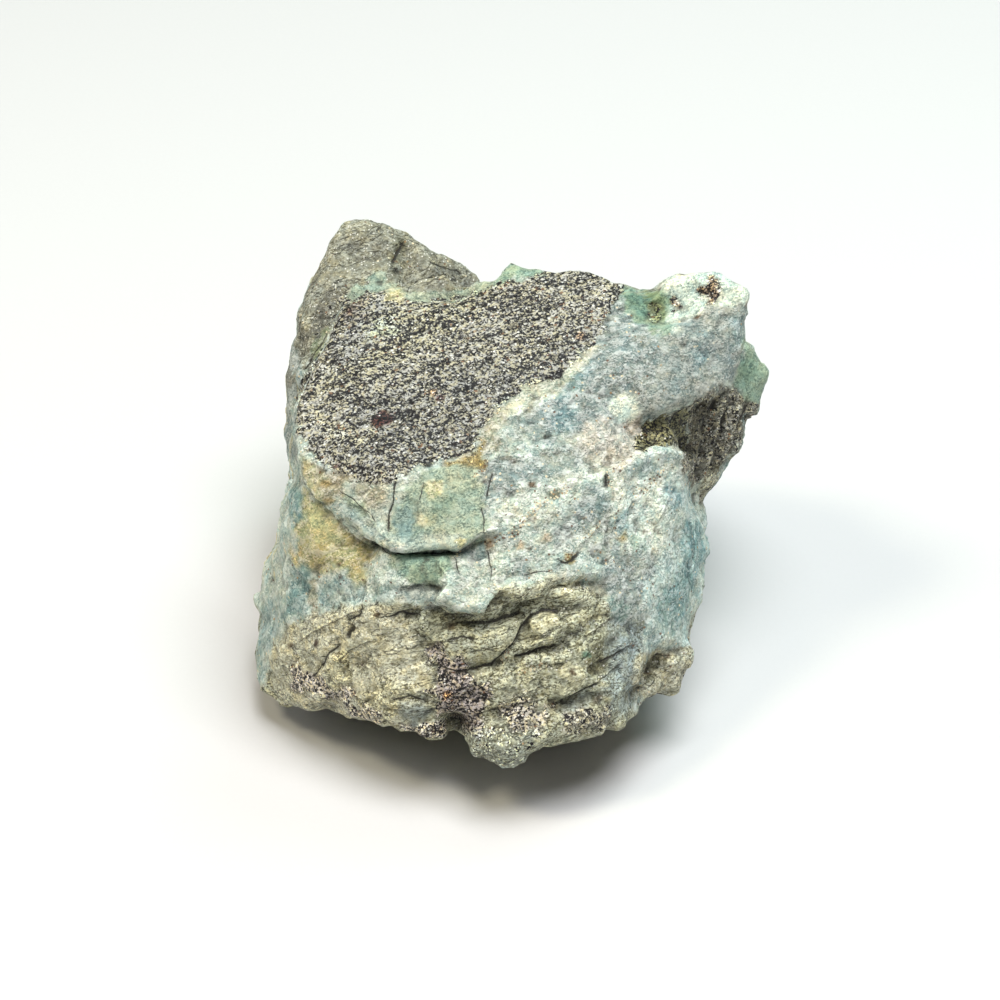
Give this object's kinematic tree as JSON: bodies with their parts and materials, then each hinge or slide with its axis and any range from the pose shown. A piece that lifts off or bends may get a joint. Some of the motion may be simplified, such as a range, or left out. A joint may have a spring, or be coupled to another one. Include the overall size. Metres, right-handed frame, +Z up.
{
  "type": "rough larimar stone",
  "caption": "Rough broken lump of blue and white pectolite in speckled grey basalt, with a flat underside to rest on.",
  "frame": {"origin": "middle of the lump's outline from above, at the height of the flat fracture that it rests on", "axes": "+Z up from the rest face, +X to the right and +Y away as seen from the front"},
  "size_m": [0.0612, 0.0702, 0.0487],
  "materials": {
    "rock": "matt broken rock: speckled grey basalt, pale blue and white pectolite, olive and ochre stains"
  },
  "bodies": {
    "root": {"larimar": "rock"}
  },
  "joints": []
}
